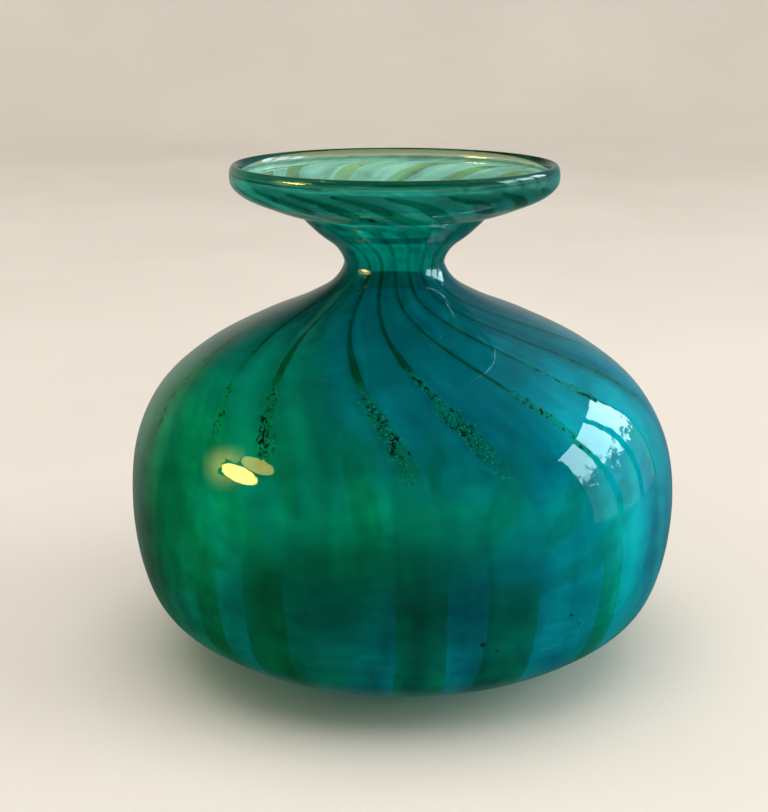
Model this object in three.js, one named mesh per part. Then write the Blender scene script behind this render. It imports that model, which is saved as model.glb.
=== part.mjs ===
// A squat hand-blown art glass vase: a turquoise bubble of coloured glass, dark silver-glass trails
// laid over it and drawn up through the neck, and a thick casing of clear glass around it all.
// Every layer of the wall is its own solid. Millimetres, +Z up, origin under the centre of the foot.
import * as THREE from "three";

// ---------------------------------------------------------------- driving dimensions
const HEIGHT = 141;
const BODY = { radius: 77.5, z: 48 };
const KNEE = { radius: 71, z: 19.4 };
const FOOT = { radius: 37, innerRadius: 22, kick: 3.8 };
const NECK = { radius: 14.1, z: 113.6 };
const FUNNEL = { radius: 25.9, z: 125.9 };
const RIM = { radius: 45.3, z: 138, edgeRadius: 42, edgeZ: 132.5 };
// the lip: its wall, where across it the crest lies, and how its inner edge is rounded
const LIP = { wall: 3.2, crest: 0.6, roundIn: 0.2, roundDown: 0.6, clearance: 0.3 };
const LEAN = 2.3;
// the punty scar, and its broken face as shares of the radius and heights above or below z
const PONTIL = { radius: 10, z: 1.4, clearance: 0.3 };
const PONTIL_FACE = [
  [0, 0],
  [0.45, 0.3],
  [0.8, -0.3],
  [1.02, 0.6],
];

// the wall, outside to inside: clear casing, the film the trails lie in, coloured glass
const CASING = { base: 3.6, body: 2.2, neck: 1.5, lip: 1.1 };
const COLOUR = { base: 1.8, body: 1.3, neck: 1.2, lip: 1.0 };
const CASING_CLEARANCE = 0.4;
const TRAIL_THICKNESS = 0.4;
const COLOUR_CLEARANCE = 0.3;
const FILM = CASING_CLEARANCE + TRAIL_THICKNESS + COLOUR_CLEARANCE;
const FLOOR_RISE = 3.4;
// extra clear glass where the rim folds over, centred on this share of the way up the wall
const FOLD = { extra: 1.2, at: 0.84, spread: 0.04 };

// Rings of points up the wall, from foot to lip, that every layer shares, and where layers end.
const RINGS = 25;
const COLOUR_TOP_RING = 24;
const TRAIL_TOP_RING = 23;
const AROUND = 40;
const PONTIL_AROUND = 20;

// Each trail: its bearing on the body and where it enters the neck (degrees, 0 at the front and
// positive to the right), its width on the body (mm) and the ring that it starts at.
const TRAILS = [
  { body: -66, neck: -90, width: 9, ring: 3 },
  { body: -42, neck: -72, width: 8, ring: 2 },
  { body: -28, neck: -52, width: 12, ring: 1 },
  { body: 3, neck: -33, width: 13, ring: 1 },
  { body: 21, neck: -16, width: 14, ring: 1 },
  { body: 45, neck: 1, width: 8, ring: 2 },
  { body: 64, neck: 18, width: 8, ring: 7 },
  { body: 82, neck: 35, width: 8, ring: 7 },
  { body: 104, neck: 53, width: 12, ring: 1 },
  { body: 126, neck: 74, width: 9, ring: 2 },
  { body: 147, neck: 94, width: 13, ring: 1 },
  { body: 170, neck: 115, width: 8, ring: 4 },
  { body: 191, neck: 137, width: 11, ring: 1 },
  { body: 213, neck: 160, width: 9, ring: 3 },
  { body: 234, neck: 184, width: 12, ring: 1 },
  { body: 254, neck: 210, width: 8, ring: 2 },
  { body: 273, neck: 240, width: 10, ring: 2 },
];
const TRAIL_WIDTH = { neck: 1.5, rim: 6 };
// above its band a trail runs on as a speckled tail and then a dark spindle: shares of its width
const TRAIL_SHARE = { tail: 0.5, spindle: 0.2 };
const TRAIL_ACROSS = 2;
// a trail's ends narrow to this share of its width, over these shares of its length
const TRAIL_TIP = { width: 0.35, foot: 0.1, rim: 0.05 };
// how far the trails turn, in degrees, from the neck to the lip
const RIM_TWIST = -62;

const GLASS = {
  casing: { color: 0xbfd8d2, roughness: 0.04 },
  colour: { color: 0x0b6f6b, roughness: 0.12 },
  trail: { color: 0x1d3f22, roughness: 0.25 },
  pontil: { color: 0xb4cfc6, roughness: 0.5 },
};

// ---------------------------------------------------------------- the wall
// The outer surface: a spline through the few points that fix its shape, from the foot to the lip.
const outerCurve = new THREE.CatmullRomCurve3(
  [
    [FOOT.radius, 0],
    [49.5, 5.2],
    [62.5, 12],
    [KNEE.radius, KNEE.z],
    [75.4, 30],
    [BODY.radius, BODY.z],
    [75.2, 65],
    [68, 78.5],
    [55.5, 89.2],
    [39.5, 97.6],
    [25, 103.7],
    [16.8, 108.7],
    [NECK.radius, NECK.z],
    [15.9, 117.6],
    [20.9, 121.6],
    [FUNNEL.radius, FUNNEL.z],
    [34.5, 129.2],
    [RIM.edgeRadius, RIM.edgeZ],
    [44.8, 135.2],
    [RIM.radius, RIM.z],
    [44.6, 140.3],
  ].map(([r, z]) => new THREE.Vector3(r, 0, z)),
  false,
  "centripetal",
);

// Shares of the way up that curve, 0 at the foot and 1 at the lip, where the wall changes.
const AT = { base: 0.05, body: 0.2, shoulder: 0.3, neck: 0.6, lip: 0.9 };
// Shares of the way up between which a trail narrows from band to tail, to spindle and to thread.
const TRAIL_NARROWS = { tail: [0.285, 0.325], spindle: [0.385, 0.405], thread: [0.415, 0.48] };
// Shares of the way up where the trails come to the end of their sweep, and fan out.
const TRAIL_AT = { swept: 0.57, fans: 0.7 };

const { smoothstep, degToRad } = THREE.MathUtils;

function blend(low, high, share, from, to) {
  return low + (high - low) * smoothstep(share, from, to);
}

function alongWall(sizes, u) {
  if (u < AT.body) return blend(sizes.base, sizes.body, u, AT.base, AT.body);
  if (u < AT.neck) return blend(sizes.body, sizes.neck, u, AT.shoulder, AT.neck);
  return blend(sizes.neck, sizes.lip, u, AT.neck, AT.lip);
}

const foldDepth = (u) => FOLD.extra * Math.exp(-(((u - FOLD.at) / FOLD.spread) ** 2));
const casingDepth = (u) => alongWall(CASING, u) + foldDepth(u);
const colourDepth = (u) => casingDepth(u) + FILM;
const wallDepth = (u) => colourDepth(u) + alongWall(COLOUR, u);

// The point `depth` mm inside the outer surface, as a lathe point: x is the radius, y the height.
function wallPoint(u, depth) {
  const point = outerCurve.getPoint(u);
  const tangent = outerCurve.getTangent(u);
  return new THREE.Vector2(point.x - tangent.z * depth, point.z + tangent.x * depth);
}

function wallLine(depthAt, topRing) {
  return Array.from({ length: topRing + 1 }, (_, ring) => {
    const u = ring / RINGS;
    return wallPoint(u, depthAt(u));
  });
}

// The neck and rim stand a little to one side, as a vase shaped by hand and eye does.
function leanAt(z) {
  return -LEAN * smoothstep(z, BODY.z, NECK.z);
}

function leaned(geometry) {
  const position = geometry.attributes.position;
  for (let i = 0; i < position.count; i++) {
    position.setX(i, position.getX(i) + leanAt(position.getZ(i)));
  }
  geometry.computeVertexNormals();
  return geometry;
}

function turned(profile, around = AROUND) {
  const geometry = new THREE.LatheGeometry(profile, around);
  geometry.rotateX(Math.PI / 2);
  return leaned(geometry);
}

function piece(name, geometry, glass) {
  const material = new THREE.MeshStandardMaterial({ ...glass, metalness: 0 });
  const mesh = new THREE.Mesh(geometry, material);
  mesh.name = name;
  return mesh;
}

// ---------------------------------------------------------------- pieces
// The hollow under the foot, which keeps the rough punty scar off the table.
function kickLine(outerRadius, drop) {
  const steps = 4;
  return Array.from({ length: steps + 1 }, (_, i) => {
    const r = (outerRadius * i) / steps;
    return new THREE.Vector2(r, FOOT.kick * (1 - (r / FOOT.innerRadius) ** 2) - drop);
  });
}

// A floor that rises gently from the lowest point of a wall line to the axis.
function floorLine(wallStart) {
  return [0.5, 1].map((share) => {
    const rise = FLOOR_RISE * (1 - (1 - share) ** 2);
    return new THREE.Vector2(wallStart.x * (1 - share), wallStart.y + rise);
  });
}

// The rounded lip closes over the ends of the film and of the coloured glass.
function lipLine() {
  const u = COLOUR_TOP_RING / RINGS;
  const filmOuter = wallPoint(u, casingDepth(u)).x;
  const wallInner = wallPoint(u, wallDepth(u)).x;
  const underside = wallPoint(u, colourDepth(u)).y + LIP.clearance;
  return [
    new THREE.Vector2(RIM.radius - LIP.wall * LIP.crest, HEIGHT),
    new THREE.Vector2(wallInner + LIP.roundIn, HEIGHT - LIP.roundDown),
    new THREE.Vector2(wallInner, underside),
    new THREE.Vector2(filmOuter, underside),
  ];
}

function clearCasing() {
  const inside = wallLine(casingDepth, COLOUR_TOP_RING).reverse();
  return turned([
    ...kickLine(FOOT.innerRadius, 0),
    ...wallLine(() => 0, RINGS),
    ...lipLine(),
    ...inside,
    ...floorLine(inside.at(-1)),
  ]);
}

function colourGather() {
  const outside = wallLine(colourDepth, COLOUR_TOP_RING);
  const inside = wallLine(wallDepth, COLOUR_TOP_RING).reverse();
  return turned([
    ...floorLine(outside[0]).reverse(),
    ...outside,
    ...inside,
    ...floorLine(inside.at(-1)),
  ]);
}

// A stub of clear glass where the vase was snapped off the punty rod, up inside the kick.
function pontilMark() {
  const { radius, z, clearance } = PONTIL;
  const snapped = PONTIL_FACE.map(([share, rise]) => new THREE.Vector2(radius * share, z + rise));
  const top = kickLine(radius, clearance).reverse();
  return turned([...snapped, ...top], PONTIL_AROUND);
}

// Bearing of a trail at a share of the way up: straight on the body, swept round on the shoulder
// where the glass was turned as it was drawn in, and swept again where the rim was spun open.
function trailBearing(trail, u) {
  const onBody = blend(trail.body, trail.neck, u, AT.shoulder, TRAIL_AT.swept);
  return onBody + blend(0, RIM_TWIST, u, AT.neck, 1);
}

function trailWidth(trail, u, share) {
  const tail = blend(trail.width, TRAIL_SHARE.tail * trail.width, u, ...TRAIL_NARROWS.tail);
  const spindle = blend(tail, TRAIL_SHARE.spindle * trail.width, u, ...TRAIL_NARROWS.spindle);
  const onBody = blend(spindle, TRAIL_WIDTH.neck, u, ...TRAIL_NARROWS.thread);
  const onRim = blend(0, TRAIL_WIDTH.rim - TRAIL_WIDTH.neck, u, TRAIL_AT.fans, AT.lip);
  const atFoot = TRAIL_TIP.width + share / TRAIL_TIP.foot;
  const atRim = TRAIL_TIP.width + (1 - share) / TRAIL_TIP.rim;
  return (onBody + onRim) * Math.min(1, atFoot, atRim);
}

// A ribbon bent onto the film: a long box whose length runs up the wall, ring by ring.
function trailRibbon(trail) {
  const steps = TRAIL_TOP_RING - trail.ring;
  const geometry = new THREE.BoxGeometry(1, 1, 1, 1, TRAIL_ACROSS, steps);
  const position = geometry.attributes.position;
  for (let i = 0; i < position.count; i++) {
    const inward = 0.5 - position.getX(i);
    const across = position.getY(i);
    const share = position.getZ(i) + 0.5;
    const u = (trail.ring + share * steps) / RINGS;
    const at = wallPoint(u, casingDepth(u) + CASING_CLEARANCE + TRAIL_THICKNESS * inward);
    const turn = (across * trailWidth(trail, u, share)) / at.x;
    const bearing = degToRad(trailBearing(trail, u)) + turn;
    position.setXYZ(i, at.x * Math.sin(bearing), -at.x * Math.cos(bearing), at.y);
  }
  return leaned(geometry);
}

// ---------------------------------------------------------------- assembly
const vase = new THREE.Group();
vase.add(piece("clear_casing", clearCasing(), GLASS.casing));
vase.add(piece("colour_gather", colourGather(), GLASS.colour));
vase.add(piece("pontil_mark", pontilMark(), GLASS.pontil));
TRAILS.forEach((trail, i) => {
  const name = `silver_trail_${String(i + 1).padStart(2, "0")}`;
  vase.add(piece(name, trailRibbon(trail), GLASS.trail));
});

export default vase;
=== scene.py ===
import itertools
import math
import random

import bmesh
import bpy
import numpy as np
from mathutils import Matrix, Vector, noise


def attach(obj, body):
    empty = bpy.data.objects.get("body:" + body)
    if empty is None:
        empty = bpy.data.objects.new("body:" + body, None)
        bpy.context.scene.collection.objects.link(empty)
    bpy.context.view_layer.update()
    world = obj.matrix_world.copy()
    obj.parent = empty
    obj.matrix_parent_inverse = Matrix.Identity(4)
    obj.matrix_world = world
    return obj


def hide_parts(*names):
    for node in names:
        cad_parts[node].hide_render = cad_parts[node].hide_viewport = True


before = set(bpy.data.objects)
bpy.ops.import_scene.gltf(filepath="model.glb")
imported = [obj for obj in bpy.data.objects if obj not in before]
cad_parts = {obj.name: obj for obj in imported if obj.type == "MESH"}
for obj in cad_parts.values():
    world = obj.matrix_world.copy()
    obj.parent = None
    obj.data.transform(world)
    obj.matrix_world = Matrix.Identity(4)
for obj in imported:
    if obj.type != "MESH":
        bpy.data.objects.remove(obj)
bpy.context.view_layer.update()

MM = 0.001

# ---------------------------------------------------------------- driving dimensions (mm)
HEIGHT = 141
BODY_RADIUS, BODY_Z = 77.5, 48
KNEE_RADIUS, KNEE_Z = 71, 19.4
FOOT_RADIUS, FOOT_INNER_RADIUS, KICK = 37, 22, 3.8
NECK_RADIUS, NECK_Z = 14.1, 113.6
FUNNEL_RADIUS, FUNNEL_Z = 25.9, 125.9
RIM_RADIUS, RIM_Z = 45.3, 138
RIM_EDGE_RADIUS, RIM_EDGE_Z = 42, 132.5
LEAN = 2.3
FLOOR_RISE = 3.4
PONTIL_RADIUS, PONTIL_Z, PONTIL_CLEARANCE = 10, 1.4, 0.3
RIPPLE, BREAK = 0.5, 0.35  # how high the stub's rings and its broken surface stand

# thickness of the layers at four places up the wall, and the clearances between the layers
CASING = dict(base=3.6, body=2.2, neck=1.5, lip=1.1)
COLOUR = dict(base=1.8, body=1.3, neck=1.2, lip=1.0)
CASING_CLEARANCE, TRAIL_THICKNESS, COLOUR_CLEARANCE = 0.4, 0.4, 0.3
FILM = CASING_CLEARANCE + TRAIL_THICKNESS + COLOUR_CLEARANCE
SKIN = 0.25  # clear glass left between the colour and the inside of the vase

# Places up the wall are shares u of the outline's points: 0 at the foot, 1 at the lip.
AT = dict(base=0.05, body=0.2, shoulder=0.3, neck=0.6, fold=0.84, lip=0.9)
FOLD_EXTRA, FOLD_SPREAD = 1.2, 0.04
# the crease where the rim folds over the funnel, and its height
CREASE_AT, CREASE_DEPTH, CREASE_SPREAD = 0.755, 0.8, 0.01
CREASE_Z = 127.5
RINGS, COLOUR_TOP_RING, TRAIL_TOP_RING = 25, 24, 23
COLOUR_TOP = (COLOUR_TOP_RING + 0.35) / RINGS  # a third of a ring past its last one
LIP_DROP = 0.3  # how far the lip's crest stays below HEIGHT

# how far the blown surface swells and sags, and the crease of the jacks at the neck
UNEVEN, JACK_DEPTH, JACK_SPREAD = 0.13, 0.35, 0.8

# bearing on the body and at the neck (degrees, 0 in front, positive right), width, first ring
TRAILS = [
    (-66, -90, 9, 3), (-42, -72, 8, 2), (-28, -52, 12, 1), (3, -33, 13, 1), (21, -16, 14, 1),
    (45, 1, 8, 2), (64, 18, 8, 7), (82, 35, 8, 7), (104, 53, 12, 1), (126, 74, 9, 2),
    (147, 94, 13, 1), (170, 115, 8, 4), (191, 137, 11, 1), (213, 160, 9, 3), (234, 184, 12, 1),
    (254, 210, 8, 2), (273, 240, 10, 2),
]
TRAIL_TAIL, TRAIL_SPINDLE = 0.5, 0.2  # width of the speckled tail and of the spindle, share of the band
TRAIL_NECK_WIDTH, TRAIL_RIM_WIDTH = 1.1, 6
TRAIL_TIP, TIP_AT_FOOT, TIP_AT_RIM = 0.35, 0.1, 0.05  # width of the ends, and shares of the length
# how far the drawn glass turns up to the neck (degrees), where that ends, and how far across the rim
SWEEP, SWEPT, RIM_TWIST = -37, 0.57, -62

# where up the wall a trail narrows from band to tail, spindle and thread, and fans out on the rim
TO_TAIL, TO_SPINDLE, TO_THREAD, FANS_OUT = (0.285, 0.325), (0.385, 0.405), (0.415, 0.48), (0.66, 0.8)
# how ragged a trail's sides are, how much more so in the tail, and how far its line wanders (mm)
RAGGED, RAGGED_TAIL, WANDER = 0.03, 0.3, 0.5
TAIL_STARTS, TAIL_ENDS = (0.29, 0.33), (0.41, 0.385)

# dark specks that stand out: bearing (degrees), share up the wall, half-length (mm)
FRIT_SPECKS = [(15, 0.2, 0.6), (18, 0.19, 0.35), (-52, 0.21, 0.3), (34, 0.212, 0.35), (22, 0.515, 0.4)]
# the other specks, with the ranges of the same three numbers
STRAY_SPECKS, STRAY_RANGES = 10, ((0, 360), (0.12, 0.4), (0.15, 0.35))
# how far all of them lie above the inside of the casing (mm), how thin they are (mm) and how ragged
SPECK_RISE, SPECK_THINNESS, SPECK_RAGGED = 0.3, 0.12, 0.7
# how many seed bubbles, their half-lengths and depths (mm), and where up the wall they lie
SEED_BUBBLES, BUBBLE_SIZES, BUBBLE_DEPTHS, BUBBLES_FROM_TO = 36, (0.14, 0.4), (0.7, 1.5), (0.1, 0.5)
# grains in the tail of each bold trail, four times those in the others, and where up the wall they lie
GRAINS, GRAINS_FROM_TO, BOLD_TRAILS = 110, (0.325, 0.4), (3, 4, 5)
# their half-lengths (mm), their lengths and scatter as shares of their width and the trail's
GRAIN_SIZES, GRAIN_LENGTHS, GRAIN_SCATTER = (0.1, 0.27), (0.6, 1.6), 0.19
DARK_SHARE, PALE_SHARE = 0.2, 0.65
MIDDLE_BOLD_TRAIL, SPECKLED_TRAIL = 4, 3

# how finely the shown surfaces are divided
AROUND = 192
UP = 150
TRAIL_ALONG = 150
TRAIL_ACROSS = 8

# ---------------------------------------------------------------- the wall
OUTLINE = np.array([
    (FOOT_RADIUS, 0), (49.5, 5.2), (62.5, 12), (KNEE_RADIUS, KNEE_Z), (75.4, 30),
    (BODY_RADIUS, BODY_Z), (75.2, 65), (68, 78.5), (55.5, 89.2), (39.5, 97.6), (25, 103.7),
    (16.8, 108.7), (NECK_RADIUS, NECK_Z), (15.9, 117.6), (20.9, 121.6), (FUNNEL_RADIUS, FUNNEL_Z),
    (34.5, 129.2), (RIM_EDGE_RADIUS, RIM_EDGE_Z), (44.8, 135.2), (RIM_RADIUS, RIM_Z), (44.6, 140.3),
], dtype=float)


def spline(share):
    """Centripetal Catmull-Rom through OUTLINE: the point and the direction at a share of its points."""
    spans = len(OUTLINE) - 1
    i = min(int(share * spans), spans - 1)
    w = share * spans - i
    p1, p2 = OUTLINE[i], OUTLINE[i + 1]
    p0 = OUTLINE[i - 1] if i else 2 * p1 - p2
    p3 = OUTLINE[i + 2] if i + 2 <= spans else 2 * p2 - p1
    d0, d1, d2 = (math.sqrt(np.linalg.norm(b - a)) for a, b in ((p0, p1), (p1, p2), (p2, p3)))
    t1 = ((p1 - p0) / d0 - (p2 - p0) / (d0 + d1) + (p2 - p1) / d1) * d1
    t2 = ((p2 - p1) / d1 - (p3 - p1) / (d1 + d2) + (p3 - p2) / d2) * d1
    c2 = -3 * p1 + 3 * p2 - 2 * t1 - t2
    c3 = 2 * p1 - 2 * p2 + t1 + t2
    point = p1 + t1 * w + c2 * w**2 + c3 * w**3
    along = t1 + 2 * c2 * w + 3 * c3 * w**2
    return point, along / np.linalg.norm(along)


def smoothstep(value, low, high):
    """0 up to low, 1 from high on, and smooth between them; low may be the larger."""
    t = min(max((value - low) / (high - low), 0), 1)
    return t * t * (3 - 2 * t)


def blend(a, b, share, low, high):
    """From a, up to low, to b, from high on."""
    return a + (b - a) * smoothstep(share, low, high)


def along_wall(sizes, u):
    """A layer's thickness, from its sizes at the base, body, neck and lip."""
    if u < AT["body"]:
        return blend(sizes["base"], sizes["body"], u, AT["base"], AT["body"])
    if u < AT["neck"]:
        return blend(sizes["body"], sizes["neck"], u, AT["shoulder"], AT["neck"])
    return blend(sizes["neck"], sizes["lip"], u, AT["neck"], AT["lip"])


def casing_depth(u):
    """The clear glass is thicker where the rim folds over."""
    return along_wall(CASING, u) + FOLD_EXTRA * math.exp(-((u - AT["fold"]) / FOLD_SPREAD) ** 2)


def colour_depth(u):
    """Where the coloured layer begins, under the film that holds the trails."""
    return casing_depth(u) + FILM


def wall_depth(u):
    """Where the inside of the vase is."""
    return colour_depth(u) + along_wall(COLOUR, u)


def wall_point(u, depth):
    """Radius and height `depth` mm inside the outer surface."""
    point, along = spline(u)
    return point[0] - along[1] * depth, point[1] + along[0] * depth


def blown(bearing, z):
    """How far the hand-blown surface falls inside the true round one, mm."""
    swell = math.sin(2 * bearing + 0.9 + z / 40) + 0.6 * math.sin(3 * bearing - 1.7 - z / 23)
    crease = JACK_DEPTH * math.exp(-((z - NECK_Z) / JACK_SPREAD) ** 2)
    return UNEVEN * (swell - 1.6) * smoothstep(z, 0, 20) - crease


def placed(radius, z, bearing):
    """A point of the vase in metres. The neck and the rim lean a little to one side."""
    radius += blown(bearing, z) * min(radius / BODY_RADIUS * 2, 1)
    x = radius * math.sin(bearing) - LEAN * smoothstep(z, BODY_Z, NECK_Z)
    return Vector((x, -radius * math.cos(bearing), z)) * MM


FLOW_RADIUS, FLOW_RISE = 0.06, 0.3  # metres: radius, and height from foot to lip


def flow_at(bearing, u):
    """Coordinates that follow the drawn glass: they turn with the sweep of the trails."""
    turned = SWEEP * smoothstep(u, AT["shoulder"], SWEPT) + RIM_TWIST * smoothstep(u, AT["neck"], 1)
    angle = bearing - math.radians(turned)
    return FLOW_RADIUS * math.sin(angle), -FLOW_RADIUS * math.cos(angle), FLOW_RISE * u


# ---------------------------------------------------------------- meshes
def mesh_object(name, bm, flows=None):
    """An object from a bmesh, smooth shaded, with the flow coordinates as a point attribute."""
    bmesh.ops.recalc_face_normals(bm, faces=bm.faces)
    mesh = bpy.data.meshes.new(name)
    bm.to_mesh(mesh)
    bm.free()
    mesh.shade_smooth()
    if flows is not None:
        attribute = mesh.attributes.new("flow", "FLOAT_VECTOR", "POINT")
        attribute.data.foreach_set("vector", np.array(flows, np.float32).ravel())
    obj = bpy.data.objects.new(name, mesh)
    bpy.context.scene.collection.objects.link(obj)
    return obj


def revolve(name, profile, around=AROUND, lift=None):
    """Turns a profile of (radius, height, share up the wall) that starts and ends on the axis."""
    bm, rings, flows = bmesh.new(), [], []
    for radius, z, u in profile:
        bearings = [0] if radius < 1e-6 else [2 * math.pi * i / around for i in range(around)]
        ring = []
        for bearing in bearings:
            rise = lift(radius, bearing) if lift else 0
            ring.append(bm.verts.new(placed(radius, z + rise, bearing)))
            flows.append(flow_at(bearing, u))
        rings.append(ring)
    for low, high in zip(rings, rings[1:]):
        for i in range(around):
            j = (i + 1) % around
            corners = [low[i % len(low)], low[j % len(low)], high[j % len(high)], high[i % len(high)]]
            bm.faces.new(dict.fromkeys(corners))
    return mesh_object(name, bm, flows)


def wall_line(depth_at, top, steps=UP):
    """(radius, height, u) up the wall from the foot to u = top, at the depth that depth_at gives."""
    shares = [top * i / steps for i in range(steps + 1)]
    return [(*wall_point(u, depth_at(u)), u) for u in shares]


def kick_line(outer_radius, drop, steps=12):
    """From the axis out along the hollow under the foot, `drop` below its surface."""
    radii = [outer_radius * i / steps for i in range(steps + 1)]
    return [(r, KICK * (1 - (r / FOOT_INNER_RADIUS) ** 2) - drop, 0) for r in radii]


def floor_line(start, steps=12):
    """From the lowest point of a wall line to the axis, rising gently and level at the middle."""
    line = []
    for i in range(1, steps + 1):
        share = i / steps
        rise = FLOOR_RISE * (1 - (1 - share) ** 2)
        line.append((start[0] * (1 - share), start[1] + rise, 0))
    return line


def rounded_end(outer, inner, bulge, steps=10):
    """A half-round edge from one (radius, height) to the other, standing `bulge` above them."""
    middle = [(outer[k] + inner[k]) / 2 for k in (0, 1)]
    half = [(outer[k] - inner[k]) / 2 for k in (0, 1)]
    ends = []
    for i in range(1, steps):
        angle = math.pi * i / steps
        ends.append((middle[0] + half[0] * math.cos(angle),
                     middle[1] + half[1] * math.cos(angle) + bulge * math.sin(angle), 1))
    return ends


def crease_depth(u):
    """The groove under the rim, where the fold meets the funnel."""
    return CREASE_DEPTH * math.exp(-((u - CREASE_AT) / CREASE_SPREAD) ** 2)


def casing_mesh():
    """The whole wall as one piece of clear glass; the colour and the trails lie inside it."""
    lip_u = COLOUR_TOP_RING / RINGS
    outside = wall_line(crease_depth, lip_u)
    inside = wall_line(wall_depth, lip_u)[::-1]
    lip = rounded_end(outside[-1], inside[0], HEIGHT - LIP_DROP - (outside[-1][1] + inside[0][1]) / 2)
    foot = [(FOOT_INNER_RADIUS + step, 0, 0) for step in (2, 8, 14)]  # across the ring it stands on
    below = kick_line(FOOT_INNER_RADIUS, 0) + foot
    return revolve("clear_casing_glass", below + outside + lip + inside + floor_line(inside[-1]))


def colour_mesh():
    """The turquoise layer, a thin shell inside the wall that runs out just under the lip."""
    outside = wall_line(colour_depth, COLOUR_TOP)
    inside = wall_line(lambda u: wall_depth(u) - SKIN, COLOUR_TOP)[::-1]
    end = rounded_end(outside[-1], inside[0], 0.4, 6)
    start = floor_line(outside[0])[::-1]
    return revolve("turquoise_layer", start + outside + end + inside + floor_line(inside[-1]))


def trail_bearing(body, neck, u):
    """A trail runs straight up the body, is swept round on the shoulder and again across the rim."""
    on_body = blend(body, neck, u, AT["shoulder"], SWEPT)
    return math.radians(on_body + blend(0, RIM_TWIST, u, AT["neck"], 1))


def trail_width(width, u, share):
    """A wide band, a speckled tail, a dark spindle and a thread, then wider again on the rim."""
    on_body = blend(width, TRAIL_TAIL * width, u, *TO_TAIL)
    on_body = blend(on_body, TRAIL_SPINDLE * width, u, *TO_SPINDLE)
    on_body = blend(on_body, TRAIL_NECK_WIDTH, u, *TO_THREAD)
    on_rim = blend(0, TRAIL_RIM_WIDTH - TRAIL_NECK_WIDTH, u, *FANS_OUT)
    tips = min(1, TRAIL_TIP + share / TIP_AT_FOOT, TRAIL_TIP + (1 - share) / TIP_AT_RIM)
    return (on_body + on_rim) * tips


def trail_point(number, trail, u, share, across, inner):
    """A point of a trail's lens-shaped section; across runs from -1 to 1 over its width."""
    body, neck, width, _ = trail
    rough = RAGGED + RAGGED_TAIL * smoothstep(u, *TAIL_STARTS) * smoothstep(u, *TAIL_ENDS)
    ragged = 1 + rough * noise.noise(Vector((u * 130, number * 7.3, across * 2)))
    wander = WANDER * noise.noise(Vector((u * 9, number * 3.1, 5))) * (u < AT["shoulder"])
    fat = TRAIL_THICKNESS * math.sqrt(1 - across**2) * (1 if inner else -1) / 2
    radius, z = wall_point(u, casing_depth(u) + CASING_CLEARANCE + TRAIL_THICKNESS / 2 + fat)
    offset = across * trail_width(width, u, share) / 2 * ragged + wander
    return placed(radius, z, trail_bearing(body, neck, u) + offset / radius)


def trail_mesh(number, trail):
    """One silver trail: a lens-section ribbon with a wandering line and slightly ragged sides."""
    bm, flows, rows = bmesh.new(), [], []
    first, last = trail[-1] / RINGS, TRAIL_TOP_RING / RINGS
    for i in range(TRAIL_ALONG + 1):
        share = i / TRAIL_ALONG
        u = first + (last - first) * share
        row = {}
        for side, k in itertools.product((0, 1), range(TRAIL_ACROSS + 1)):
            across = 2 * k / TRAIL_ACROSS - 1
            if side and abs(across) == 1:
                row[side, k] = row[0, k]
                continue
            row[side, k] = bm.verts.new(trail_point(number, trail, u, share, across, side))
            flows.append((across, share, number))
        rows.append(row)
    for low, high in zip(rows, rows[1:]):
        for side, k in itertools.product((0, 1), range(TRAIL_ACROSS)):
            bm.faces.new((low[side, k], low[side, k + 1], high[side, k + 1], high[side, k]))
    for row in (rows[0], rows[-1]):
        edge = [row[0, k] for k in range(TRAIL_ACROSS + 1)]
        edge += [row[1, k] for k in range(TRAIL_ACROSS - 1, 0, -1)]
        bm.faces.new(edge)
    return mesh_object(f"silver_trail_glass_{number:02d}", bm, flows)


def pontil_mesh():
    """The snapped stub in the kick, with a broken, rippled face."""
    def broken(radius, bearing):
        """How far the snapped face rises or falls, mm."""
        place = Vector((math.sin(bearing) * radius, math.cos(bearing) * radius, 0)) / 3
        return BREAK * noise.noise(place) * (radius < PONTIL_RADIUS * 0.95)
    steps = 10
    ripples = [RIPPLE * (math.sin(i * 1.3) ** 2 - 0.5) for i in range(steps)]
    face = [(PONTIL_RADIUS * i / steps, PONTIL_Z + ripple, 0) for i, ripple in enumerate(ripples)]
    side = [(PONTIL_RADIUS * 0.98, PONTIL_Z + RIPPLE, 0)]
    top = kick_line(PONTIL_RADIUS, PONTIL_CLEARANCE)[::-1]
    return revolve("pontil_scar", face + side + top, 72, broken)


def blob(bm, bearing, u, depth, sizes, subdivisions=2):
    """A small rounded body inside the wall; sizes are its half-lengths across, along and through it."""
    radius, z = wall_point(u, depth)
    deeper_radius, deeper_z = wall_point(u, depth + 1)
    centre = placed(radius, z, bearing)
    outward = (centre - placed(deeper_radius, deeper_z, bearing)).to_track_quat("Z", "Y")
    where = Matrix.LocRotScale(centre, outward, Vector(sizes) * MM)
    return bmesh.ops.create_icosphere(bm, subdivisions=subdivisions, radius=1, matrix=where)["verts"]


def bubbles_mesh():
    """Seed bubbles caught in the clear glass, most of them in the body."""
    rng, bm = random.Random(4), bmesh.new()
    for _ in range(SEED_BUBBLES):
        size = rng.uniform(*BUBBLE_SIZES)
        depth = rng.uniform(*BUBBLE_DEPTHS)
        bearing = rng.uniform(0, 2 * math.pi)
        u = rng.uniform(*BUBBLES_FROM_TO)
        blob(bm, bearing, u, depth, (size, size * 1.3, size))
    return mesh_object("seed_bubbles", bm)


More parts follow.
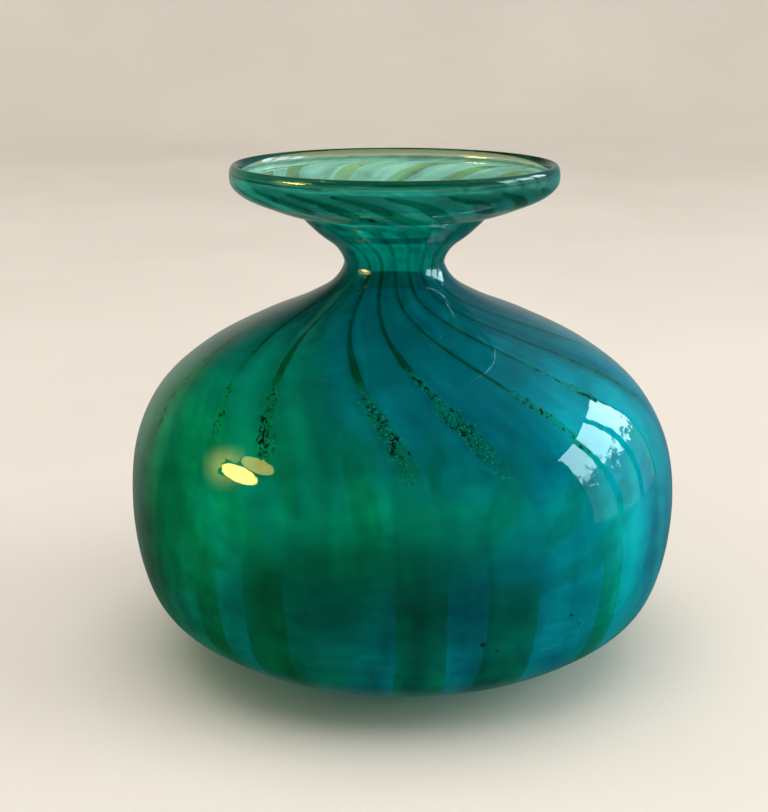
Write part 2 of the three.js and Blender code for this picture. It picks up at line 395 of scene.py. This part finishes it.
def specks_mesh():
    """Ragged flat specks of silver frit in the clear glass: the few named ones and some strays."""
    rng, bm = random.Random(9), bmesh.new()
    strays = [tuple(rng.uniform(*limits) for limits in STRAY_RANGES) for _ in range(STRAY_SPECKS)]
    for bearing, u, size in FRIT_SPECKS + strays:
        depth = casing_depth(u) - SPECK_RISE
        corners = blob(bm, math.radians(bearing), u, depth, (size * 1.3, size, SPECK_THINNESS))
        middle = sum((v.co for v in corners), Vector()) / len(corners)
        for v in corners:
            v.co += (v.co - middle) * SPECK_RAGGED * noise.noise(v.co * 3500)
    return mesh_object("frit_specks", bm)


def grains_mesh(name, seed, share):
    """Grains of silver glass scattered in the tails of the trails, thickest in the three in front."""
    rng, bm = random.Random(seed), bmesh.new()
    for number, (body, neck, width, _) in enumerate(TRAILS, 1):
        count = GRAINS if number in BOLD_TRAILS else GRAINS // 4
        for _ in range(int(count * share)):
            u = rng.uniform(*GRAINS_FROM_TO)
            across = rng.gauss(0, GRAIN_SCATTER) * trail_width(width, u, 0.5)
            depth = casing_depth(u) + CASING_CLEARANCE * rng.uniform(0.1, 0.9)
            bearing = trail_bearing(body, neck, u) + across / wall_point(u, depth)[0]
            size = rng.uniform(*GRAIN_SIZES)
            length = size * rng.uniform(*GRAIN_LENGTHS)
            blob(bm, bearing, u, depth, (size, length, GRAIN_SIZES[0]), 1)
    return mesh_object(name, bm)


# ---------------------------------------------------------------- material nodes
class Nodes:
    """A short way to build the node tree of a material or a world."""

    def __init__(self, owner):
        owner.use_nodes = True
        self.owner = owner
        self.tree = owner.node_tree
        self.tree.nodes.clear()

    def put(self, kind, values=None, **settings):
        """A new node, with its settings and with its inputs set or linked."""
        node = self.tree.nodes.new(kind)
        for key, value in settings.items():
            setattr(node, key, value)
        for key, value in (values or {}).items():
            self.join(value, node.inputs[key])
        return node

    def join(self, value, socket):
        """Links an output to an input, or sets the input to a plain value."""
        if isinstance(value, bpy.types.NodeSocket):
            self.tree.links.new(value, socket)
        elif isinstance(value, tuple) and len(value) == 3 and socket.type == "RGBA":
            socket.default_value = (*value, 1)
        else:
            socket.default_value = value

    def maths(self, operation, a, b=0.0):
        return self.put("ShaderNodeMath", {0: a, 1: b}, operation=operation).outputs[0]

    def times(self, first, *others):
        for other in others:
            first = self.maths("MULTIPLY", first, other)
        return first

    def sum(self, first, *others):
        for other in others:
            first = self.maths("ADD", first, other)
        return first

    def distance(self, value, centre):
        """How far a value lies from the centre, either way."""
        return self.maths("ABSOLUTE", self.sum(value, -centre))

    def most(self, *values):
        """The largest of the values."""
        largest = values[0]
        for value in values[1:]:
            largest = self.maths("MAXIMUM", largest, value)
        return largest

    def wobble(self, amount, where, *noise_settings):
        """Noise either side of zero."""
        return self.times(self.sum(self.noise(where, *noise_settings), -0.5), amount)

    def scaled(self, vector, by):
        return self.put("ShaderNodeVectorMath", {0: vector, 1: by}, operation="MULTIPLY").outputs[0]

    def shaded(self, colour, shade):
        """A colour made lighter or darker by a factor."""
        grey = self.put("ShaderNodeCombineXYZ", {0: shade, 1: shade, 2: shade}).outputs[0]
        return self.mix(1.0, colour, grey, "MULTIPLY")

    def spread(self, value, low, high, to_low=0.0, to_high=1.0):
        """Changes smoothly from to_low at low to to_high at high; low may be the larger."""
        values = {"Value": value, "From Min": low, "From Max": high, "To Min": to_low, "To Max": to_high}
        return self.put("ShaderNodeMapRange", values, interpolation_type="SMOOTHSTEP").outputs[0]

    def mix(self, factor, a, b, how="MIX"):
        node = self.put("ShaderNodeMix", data_type="RGBA", blend_type=how)
        self.join(factor, node.inputs[0])
        self.join(a, node.inputs[6])
        self.join(b, node.inputs[7])
        return node.outputs[2]

    def flow(self, stretch=(1, 1, 1)):
        """The mesh's own coordinates, which turn with the drawn glass, or run along a trail."""
        flow = self.put("ShaderNodeAttribute", attribute_name="flow").outputs["Vector"]
        return self.scaled(flow, stretch)

    def noise(self, where, scale, detail=3.0, rough=0.55):
        values = {"Vector": where, "Scale": scale, "Detail": detail, "Roughness": rough}
        return self.put("ShaderNodeTexNoise", values).outputs[0]

    def place(self):
        """Where on the object, in metres."""
        return self.put("ShaderNodeTexCoord").outputs["Object"]

    def part_of(self, vector, axis):
        return self.put("ShaderNodeSeparateXYZ", {0: vector}).outputs[axis]

    def bump(self, height, strength, distance, normal=None):
        values = {"Height": height, "Strength": strength, "Distance": distance}
        if normal:
            values["Normal"] = normal
        return self.put("ShaderNodeBump", values).outputs[0]

    def glass(self, colour, roughness, ior, clear, normal=None, light=None):
        """Glass that lets lamps through, so that what is inside it is lit."""
        values = {"Base Color": colour, "Roughness": roughness, "IOR": ior, "Transmission Weight": clear}
        if normal:
            values["Normal"] = normal
        shader = self.put("ShaderNodeBsdfPrincipled", values).outputs[0]
        passed = self.put("ShaderNodeBsdfTransparent", {"Color": light or colour}).outputs[0]
        shadow = self.put("ShaderNodeLightPath").outputs["Is Shadow Ray"]
        mixed = self.put("ShaderNodeMixShader", {0: shadow, 1: shader, 2: passed})
        self.put("ShaderNodeOutputMaterial", {"Surface": mixed.outputs[0]})
        return self.owner


def material_nodes(name):
    return Nodes(bpy.data.materials.new(name))


# The coloured layers are fused to the clear glass, so light passes into them without bending.
GLASS_IOR, FUSED_IOR = 1.5, 1.0
FUSED_ROUGHNESS = 0.04
CLEAR = (0.95, 0.99, 0.97)
SMOKE = (0.25, 0.34, 0.19)
LIP_TURNS_SMOKY = 0.1372, 0.1395  # heights in metres, as everywhere in the materials


def casing_material():
    """Clear glass with soft swells, lines along the draw and round the vase, and a smoky lip."""
    t = material_nodes("clear_glass")
    place = t.place()
    combed = t.noise(t.flow((1, 1, 0.05)), 420, 2.0)
    turned = t.noise(t.scaled(place, (1, 1, 22)), 9, 2.0)
    soft = t.bump(t.noise(place, 26, 1.0), 0.25, 0.002)
    lines = t.bump(combed, 0.05, 0.0004, soft)
    normal = t.bump(turned, 0.06, 0.0006, lines)
    hairlines = t.spread(t.noise(t.flow((0.3, 0.3, 6)), 700, 2.0), 0.62, 0.75, 0.01, 0.07)
    colour = t.mix(t.spread(t.part_of(place, "Z"), *LIP_TURNS_SMOKY), CLEAR, SMOKE)
    return t.glass(colour, hairlines, GLASS_IOR, 1.0, normal, light=CLEAR)


# the turquoise: its colours, and the colour of the light that it lets through
GREEN = (0.002, 0.58, 0.33)
BLUE = (0.002, 0.53, 0.67)
FUNNEL_TEAL = (0.004, 0.65, 0.60)
AQUA = (0.42, 0.87, 0.75)
PALE = (0.50, 0.88, 0.79)
TURQUOISE_LIGHT = (0.02, 0.5, 0.45)
TURQUOISE_CLEAR = 0.84
# the heights over which each of its parts begins
SHOULDER_BEGINS, FOOT_BEGINS = (0.06, 0.09), (0.066, 0.028)
FUNNEL_BEGINS, DISH_BEGINS = (0.106, 0.115), (0.1295, 0.1325)
CREASE_RING = 0.017, 0.009  # how far from the crease it starts and is full, shares up the wall


def turquoise_colour(t, x, y, z):
    """Green to the left, bluer to the right, the foot and the shoulder, and palest inside the rim:
    partly the paler thin glass there, partly painted light at the back of the dish.
    """
    high = t.spread(z, *SHOULDER_BEGINS, -0.2, 0.65)
    low = t.spread(z, *FOOT_BEGINS, 0.0, 0.95)
    drift = t.wobble(2.3, t.flow((1, 1, 0.35)), 16)
    blue = t.sum(t.times(x, 12.0), t.times(y, 2.0), high, low, drift)
    colour = t.mix(t.spread(blue, -0.5, 0.8), GREEN, BLUE)
    colour = t.mix(t.spread(z, *FUNNEL_BEGINS), colour, FUNNEL_TEAL)
    # partly the paler glass of the thin rim, partly painted light: aqua strongest at the back of the
    # dish, where light shines in through the rim
    pale_and_lit_dish = t.times(t.spread(z, *DISH_BEGINS), t.spread(y, -0.03, 0.01, 0.35, 1))
    colour = t.mix(pale_and_lit_dish, colour, AQUA)
    up_wall = t.times(t.part_of(t.flow(), "Z"), 1 / FLOW_RISE)
    return t.mix(t.spread(t.distance(up_wall, CREASE_AT), *CREASE_RING), colour, PALE)


def turquoise_shade(t, place, x, z):
    """Streaked and cloudy, densest in the middle of the body; painted light makes it brightest to the
    right, where the side light falls, and at the foot, where light gathers in the thick base.
    """
    streak = t.spread(t.noise(t.flow((1, 1, 0.12)), 120, 4.0), 0.3, 0.7, 0.74, 1.1)
    mottle = t.spread(t.noise(t.scaled(place, (1, 1, 2.5)), 75, 4.0, 0.65), 0.3, 0.7, 0.84, 1.08)
    patch = t.spread(t.noise(place, 28, 2.0), 0.3, 0.7, 0.88, 1.1)
    in_body = t.times(t.spread(z, 0.088, 0.07), t.spread(z, 0.02, 0.055))
    dense = t.times(t.spread(t.maths("ABSOLUTE", x), 0.055, 0.02, 0.0, -0.24), in_body)
    left = t.times(t.spread(x, -0.02, -0.045, 0.0, 0.2), t.spread(z, 0.045, 0.065))
    # painted light: brighter towards the right side, where the side light falls
    right = t.spread(x, 0.028, 0.065, 1.0, 1.75)
    # painted light: brighter towards the foot, standing in for light gathered in the thick base
    foot = t.spread(z, 0.04, 0.006, 1.0, 2.2)
    shoulder = t.spread(z, 0.075, 0.09, 1.0, 0.80)
    funnel = t.spread(z, 0.1, 0.112, 1.0, 1.3)
    middle = t.times(t.sum(1, dense), t.sum(1, left))
    return t.times(streak, mottle, patch, middle, right, foot, shoulder, funnel)


def turquoise_material():
    """Deep glass between green and blue, cloudy and streaked along the draw."""
    t = material_nodes("turquoise_glass")
    place = t.place()
    x, y, z = (t.part_of(place, axis) for axis in "XYZ")
    colour = t.shaded(turquoise_colour(t, x, y, z), turquoise_shade(t, place, x, z))
    return t.glass(colour, FUSED_ROUGHNESS, FUSED_IOR, TURQUOISE_CLEAR, light=TURQUOISE_LIGHT)


# the trails: their colours, and the colour of the light that they let through
THREAD = (0.05, 0.66, 0.50)
FAINT = (0.15, 0.80, 0.70)
SPINDLE = (0.04, 0.52, 0.25)
FRIT = (0.03, 1.40, 0.80)
BAND = (0.04, 0.90, 0.62)
RIM_STREAK = (0.15, 0.68, 0.54)
OCHRE = (0.85, 0.62, 0.14)
BLACK = (0.002, 0.05, 0.03)
UNSEEN = (0.03, 1.0, 1.0)
TRAIL_LIGHT = (0.3, 0.86, 0.76)
TRAIL_CLEAR = 0.99
# the heights over which they change
BAND_TO_FRIT, FRIT_TO_SPINDLE = (0.058, 0.066), (0.0885, 0.0915)
SPINDLE_TO_THREAD, THREAD_TO_FAINT, FAINT_TO_RIM = (0.097, 0.104), (0.106, 0.114), (0.122, 0.133)
SPECKS_BEGIN, SPECKS_END, NARROW_ENDS = (0.068, 0.078), (0.093, 0.089), (0.092, 0.088)
PATCHES_BEGIN = 0.124, 0.13
GAP_BEGINS, GAP_ENDS = (0.036, 0.060), (0.077, 0.069)
CREASE_GAP = 0.0022, 0.0012  # how far from the crease it starts and is full, metres


def own_shift(t, own, rate, most):
    """A small shift that differs from trail to trail; own is the trail's number."""
    return t.times(t.maths("SINE", t.times(own, rate)), most)


def trail_colour(t, place, own, z):
    """Bands, speckled tails, spindles that are darkest in front, threads, and streaks on the rim."""
    bold = t.spread(t.distance(own, MIDDLE_BOLD_TRAIL), 1.2, 2.4, 1, 0.5)
    on_rim = t.mix(t.spread(t.part_of(place, "Y"), -0.01, 0.01), RIM_STREAK, OCHRE)
    colour = t.mix(t.spread(z, *BAND_TO_FRIT), BAND, FRIT)
    colour = t.mix(t.spread(z, *FRIT_TO_SPINDLE), colour, t.mix(bold, THREAD, SPINDLE))
    colour = t.mix(t.spread(z, *SPINDLE_TO_THREAD), colour, THREAD)
    colour = t.mix(t.spread(z, *THREAD_TO_FAINT), colour, FAINT)
    return t.mix(t.spread(z, *FAINT_TO_RIM), colour, on_rim)


def trail_specks(t, place, own, z):
    """Dark specks in the tails, most of them in one trail, and dark patches on the rim."""
    dense = t.spread(t.distance(own, SPECKLED_TRAIL), 0.4, 0.6, 0.02, 0)
    clusters = t.wobble(0.5, place, 260, 2.0)
    specks = t.spread(t.sum(t.noise(place, 900, 2.0, 0.6), dense, clusters), 0.575, 0.605)
    in_tail = t.times(t.spread(z, *SPECKS_BEGIN), t.spread(z, *SPECKS_END))
    patches = t.spread(t.noise(place, 190, 3.0, 0.6), 0.56, 0.66)
    return t.most(t.times(specks, in_tail), t.times(patches, t.spread(z, *PATCHES_BEGIN)))


def trail_hidden(t, place, own, across, z):
    """Where a trail fades away: past its feathered sides, in a gap below its tail, at the crease."""
    narrow = t.times(t.spread(z, *BAND_TO_FRIT), t.spread(z, *NARROW_ENDS))
    feather = t.wobble(t.sum(0.12, t.times(narrow, 1.3)), place, 330, 4.0, 0.7)
    from_middle = t.sum(t.maths("ABSOLUTE", across), feather)
    limit = t.sum(0.96, t.times(narrow, -0.25))
    beyond = t.spread(t.sum(from_middle, t.times(limit, -1)), -0.05, 0.05)
    uneven = t.sum(z, t.wobble(0.03, place, 70), own_shift(t, own, 4.1, 0.005))
    gap = t.times(t.spread(uneven, *GAP_BEGINS), t.spread(z, *GAP_ENDS))
    crease = t.spread(t.distance(t.part_of(place, "Z"), CREASE_Z * MM), *CREASE_GAP)
    return t.most(beyond, gap, crease)


def trail_material():
    """Silver glass: wide bands, speckled tails, dark spindles, fine threads, then wide streaks."""
    t = material_nodes("silver_trail_glass")
    place = t.place()
    across, _, own = (t.part_of(t.flow(), axis) for axis in "XYZ")
    z = t.sum(t.part_of(place, "Z"), own_shift(t, own, 2.3, 0.0025))
    cloud = t.spread(t.noise(place, 110, 4.0, 0.6), 0.3, 0.7, 0.8, 1.0)
    colour = t.mix(trail_specks(t, place, own, z), trail_colour(t, place, own, z), BLACK)
    shown = t.mix(trail_hidden(t, place, own, across, z), t.shaded(colour, cloud), UNSEEN)
    return t.glass(shown, FUSED_ROUGHNESS, FUSED_IOR, TRAIL_CLEAR, light=TRAIL_LIGHT)


def bubble_material():
    """Air inside glass: the light bends the other way."""
    return material_nodes("bubble_air").glass((1.0, 1.0, 1.0), 0.0, 1 / GLASS_IOR, 1.0)


BURNT_SILVER = (0.002, 0.03, 0.022)
PALE_SILVER = (0.014, 0.32, 0.23)
PUNTY = (0.75, 0.88, 0.84)


def grain_material(name, colour):
    """A grain of silver glass: opaque and half dull."""
    t = material_nodes(name)
    shader = t.put("ShaderNodeBsdfPrincipled", {"Base Color": colour, "Roughness": 0.4})
    t.put("ShaderNodeOutputMaterial", {"Surface": shader.outputs[0]})
    return t.owner


def pontil_material():
    """Broken glass, part shiny and part frosted."""
    t = material_nodes("punty_glass")
    rough = t.spread(t.noise(t.place(), 240, 4.0), 0.3, 0.7, 0.12, 0.45)
    normal = t.bump(t.noise(t.place(), 380, 4.0), 0.4, 0.0005)
    return t.glass(PUNTY, rough, GLASS_IOR, 0.9, normal)


STAGE_TONES = (0.65, 0.61, 0.555), (0.69, 0.65, 0.595)
STAGE_MIRRORED = (0.02, 0.05, 0.05)


def stage_material():
    """A pale dull floor, darker where it is seen by way of a reflection."""
    t = material_nodes("pale_stage")
    place = t.place()
    colour = t.mix(t.spread(t.noise(place, 3), 0.3, 0.7), *STAGE_TONES)
    mirrored = t.maths("MINIMUM", t.put("ShaderNodeLightPath").outputs["Glossy Depth"], 1)
    colour = t.mix(t.times(mirrored, 0.7), colour, STAGE_MIRRORED)
    grain = t.bump(t.noise(place, 260, 2.0), 0.08, 0.0005)
    values = {"Base Color": colour, "Roughness": 1.0, "Specular IOR Level": 0.0, "Normal": grain}
    shader = t.put("ShaderNodeBsdfPrincipled", values)
    t.put("ShaderNodeOutputMaterial", {"Surface": shader.outputs[0]})
    return t.owner


# ---------------------------------------------------------------- stage, camera, lights
STAGE_MIDDLE, STAGE_RADIUS, STAGE_CURVE, STAGE_WALL = 0.02, 1.5, 0.5, 2.4  # metres


def stage_outline(flat_steps=8, curve_steps=12):
    """(radius, height) from beside the middle, over the flat floor and the curve, up the wall."""
    flat = [(STAGE_MIDDLE + STAGE_RADIUS * i / flat_steps, 0) for i in range(flat_steps + 1)]
    curve = []
    for i in range(1, curve_steps + 1):
        angle = math.pi / 2 * i / curve_steps
        rise = STAGE_CURVE * (1 - math.cos(angle))
        curve.append((STAGE_RADIUS + STAGE_CURVE * math.sin(angle), rise))
    return flat + curve + [(STAGE_RADIUS + STAGE_CURVE, STAGE_WALL)]


def make_stage(sides=96):
    """A round pale floor that turns up into a wall all the way round."""
    bm, rings = bmesh.new(), []
    centre = bm.verts.new((0, 0, 0))
    angles = [2 * math.pi * i / sides for i in range(sides)]
    for radius, z in stage_outline():
        rings.append([bm.verts.new((radius * math.cos(a), radius * math.sin(a), z)) for a in angles])
    for i in range(sides):
        j = (i + 1) % sides
        bm.faces.new((centre, rings[0][i], rings[0][j]))
        for low, high in zip(rings, rings[1:]):
            bm.faces.new((low[i], low[j], high[j], high[i]))
    stage = mesh_object("stage_floor", bm)
    stage.data.materials.append(stage_material())
    stage.visible_glossy = False


TARGET = Vector((0, 0, 0.08))
WARM = (1.0, 0.72, 0.14)
SKY = (0.60, 0.90, 1.0)
SKY_LIGHT = (1.0, 0.98, 0.95)
SIDE_LIGHT = (0.88, 0.95, 1.0)


def turned_to_target(place, axis):
    """The rotation that points an axis of a thing at `place` towards the vase."""
    return (TARGET - Vector(place)).to_track_quat(axis, "Y").to_euler()


def area_light(name, place, size, power, colour):
    """A square soft lamp that lights the vase but is not seen in or through the glass."""
    data = bpy.data.lights.new(name, "AREA")
    data.shape = "SQUARE"
    data.size = size
    data.energy = power
    data.color = colour
    lamp = bpy.data.objects.new(name, data)
    bpy.context.scene.collection.objects.link(lamp)
    lamp.location = place
    lamp.rotation_euler = turned_to_target(place, "-Z")
    lamp.visible_glossy = False
    lamp.visible_transmission = False


def card_material(name, colour, strength, pattern):
    """A glow that lights nothing by itself."""
    t = material_nodes(name)
    light = t.times(pattern(t, t.place()), strength)
    glow = t.put("ShaderNodeEmission", {"Color": colour, "Strength": light}).outputs[0]
    t.put("ShaderNodeOutputMaterial", {"Surface": glow})
    t.owner.cycles.emission_sampling = "NONE"
    return t.owner


def glint_card(name, place, size, colour, strength, pattern):
    """A bright card that is only mirrored in the glass; pattern gives its brightness from 0 to 1."""
    bm = bmesh.new()
    bmesh.ops.create_grid(bm, x_segments=1, y_segments=1, size=0.5)
    card = mesh_object(name, bm)
    card.scale = (*size, 1)
    card.location = place
    card.rotation_euler = turned_to_target(place, "Z")
    card.data.materials.append(card_material(name, colour, strength, pattern))
    card.visible_camera = False
    card.visible_diffuse = False
    card.visible_transmission = False
    card.visible_shadow = False


PANES = 3


def window_pattern(t, where):
    """Three tall panes with dark bars between them: sky above and ragged dark foliage below."""
    x, y = (t.part_of(where, axis) for axis in "XY")
    bar = t.distance(t.maths("FRACT", t.sum(t.times(x, PANES), 0.5)), 0.5)
    leaves = t.sum(t.noise(where, 9, 6.0, 0.8), t.times(y, 0.9), -0.08)
    outside = t.spread(leaves, 0.46, 0.53, 0.05, 1.0)
    return t.times(t.spread(bar, 0.41, 0.39), outside)


def from_middle_of(t, where):
    """How far a place on a card is from the card's middle; its edges are 0.5 away."""
    return t.put("ShaderNodeVectorMath", {0: where}, operation="LENGTH").outputs["Value"]


def lamp_pattern(t, where):
    """A bright lozenge with a crisp edge."""
    return t.spread(from_middle_of(t, where), 0.5, 0.44)


def glow_pattern(t, where):
    """A glow that fades out all round."""
    return t.maths("POWER", t.spread(from_middle_of(t, where), 0.5, 0.0), 1.5)


# what the glass mirrors on each side of the room
DARK_FRONT = (0.008, 0.010, 0.012)
WALL_LEFT, WALL_RIGHT = (0.36, 0.36, 0.33), (0.62, 0.72, 0.70)
BLUE_SIDE = (0.11, 0.29, 0.36)
TABLE_FRONT, TABLE_BACK = (0.010, 0.012, 0.010), (0.04, 0.09, 0.08)
EVEN_LIGHT = (0.5, 0.5, 0.5)


def make_room():
    """What the glass mirrors: a pale wall behind, a blue side to the right, dark in front."""
    t = Nodes(bpy.data.worlds.new("room"))
    towards = t.put("ShaderNodeTexCoord").outputs["Generated"]
    x, y, z = (t.part_of(towards, axis) for axis in "XYZ")
    wall = t.times(t.spread(y, 0.4, 0.9), t.spread(z, 0.5, 0.1))
    mirrored = t.mix(wall, DARK_FRONT, t.mix(t.spread(x, 0.1, 0.5), WALL_LEFT, WALL_RIGHT))
    side = t.times(t.spread(x, 0.04, 0.44), t.spread(y, -0.1, 0.35), t.spread(z, 1.05, 0.6))
    mirrored = t.mix(side, mirrored, BLUE_SIDE)
    table = t.mix(t.spread(y, 0.3, 0.85), TABLE_FRONT, TABLE_BACK)
    mirrored = t.mix(t.spread(z, 0.0, -0.55), mirrored, table)
    glossy = t.put("ShaderNodeLightPath").outputs["Is Glossy Ray"]
    background = t.put("ShaderNodeBackground", {"Color": t.mix(glossy, EVEN_LIGHT, mirrored)})
    t.put("ShaderNodeOutputWorld", {"Surface": background.outputs[0]})
    bpy.context.scene.world = t.owner


def around(bearing, elevation, distance):
    """A place round the vase: bearing from the front, positive right, and elevation, in degrees."""
    turn, lift = math.radians(bearing), math.radians(elevation)
    flat = Vector((math.sin(turn), -math.cos(turn), 0)) * math.cos(lift)
    return TARGET + (flat + Vector((0, 0, math.sin(lift)))) * distance


def make_lights():
    """Soft light from above and from the right, and glints of a window and of a small warm lamp."""
    glint_card("window_glint", around(103, 12.5, 1.2), (1.12, 0.9), SKY, 10, window_pattern)
    glint_card("lamp_glint", around(-71, 19.5, 0.79), (0.28, 0.12), WARM, 36, lamp_pattern)
    glint_card("shade_glint", around(-66, 28, 0.83), (0.26, 0.13), WARM, 8, lamp_pattern)
    glint_card("glow_glint", around(-80, 20, 0.9), (0.5, 0.5), WARM, 6, glow_pattern)
    area_light("sky", (0, -0.3, 2.2), 2.2, 40, SKY_LIGHT)
    area_light("side", (1.25, -0.3, 0.9), 0.9, 10, SIDE_LIGHT)


CAMERA_PLACE = (-0.0052, -0.4003, 0.1821)
CAMERA_LENS, CAMERA_DIP, NEAREST = 64.3, 15.43, 0.01  # mm, degrees below level, metres


def make_camera():
    """The camera of the photo, as fitted."""
    data = bpy.data.cameras.new("camera")
    data.lens = CAMERA_LENS
    data.clip_start = NEAREST
    camera = bpy.data.objects.new("camera", data)
    bpy.context.scene.collection.objects.link(camera)
    camera.location = CAMERA_PLACE
    camera.rotation_euler = (math.radians(90 - CAMERA_DIP), 0, 0)
    bpy.context.scene.camera = camera


# ---------------------------------------------------------------- the vase
def add(piece, material, slot, *nodes):
    """Gives a piece its material and body, and says which CAD nodes it is shown instead of. The slot
    argument is not used.
    """
    piece.data.materials.append(material)
    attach(piece, "root")
    if nodes:
        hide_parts(*nodes)


def make_vase():
    """The layers of glass from the outside in, what is caught in them, and the trails."""
    add(casing_mesh(), casing_material(), "clear_glass", "clear_casing")
    add(colour_mesh(), turquoise_material(), "turquoise_glass", "colour_gather")
    add(pontil_mesh(), pontil_material(), "punty_glass", "pontil_mark")
    add(bubbles_mesh(), bubble_material(), "clear_glass")
    burnt = grain_material("burnt_silver_grain", BURNT_SILVER)
    pale = grain_material("pale_silver_grain", PALE_SILVER)
    add(specks_mesh(), burnt, "trail_glass")
    add(grains_mesh("dark_silver_grains", 21, DARK_SHARE), burnt, "trail_glass")
    add(grains_mesh("pale_silver_grains", 22, PALE_SHARE), pale, "trail_glass")
    trail_glass = trail_material()
    for number, trail in enumerate(TRAILS, 1):
        add(trail_mesh(number, trail), trail_glass, "trail_glass", f"silver_trail_{number:02d}")


BOUNCES = 24  # enough to cross all the layers of both walls


def set_render():
    """Plain display of colours, and enough bounces for glass behind glass."""
    scene = bpy.context.scene
    scene.view_settings.view_transform = "Standard"
    scene.cycles.max_bounces = BOUNCES
    scene.cycles.transmission_bounces = BOUNCES
    scene.cycles.transparent_max_bounces = BOUNCES


make_camera()
make_stage()
make_room()
make_lights()
make_vase()
set_render()
